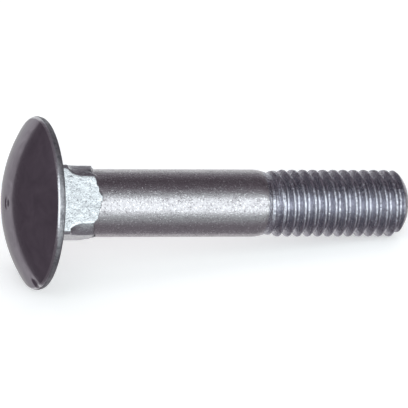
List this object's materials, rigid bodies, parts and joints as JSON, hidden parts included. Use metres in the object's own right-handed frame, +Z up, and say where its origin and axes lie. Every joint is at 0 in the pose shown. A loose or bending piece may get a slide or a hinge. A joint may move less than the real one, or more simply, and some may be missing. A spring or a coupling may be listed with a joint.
{
  "type": "carriage bolt",
  "caption": "Carriage bolt with a low domed head, a square neck that keeps it from turning, a plain shank and a coarse right-hand thread at its end.",
  "frame": {"origin": "on the ground, under the middle of the bolt's box as it lies at rest on the rim of its head and on its thread", "axes": "+Z up; +X along the lying bolt, from its head to its point, which is 7.9 degrees lower; +Y completes the right hand"},
  "size_m": [0.0476, 0.0196, 0.0196],
  "materials": {
    "zinc_steel": "zinc-plated steel, satin and slightly mottled, dulled by handling"
  },
  "bodies": {
    "root": {"carriage_bolt": "zinc_steel"}
  },
  "joints": []
}
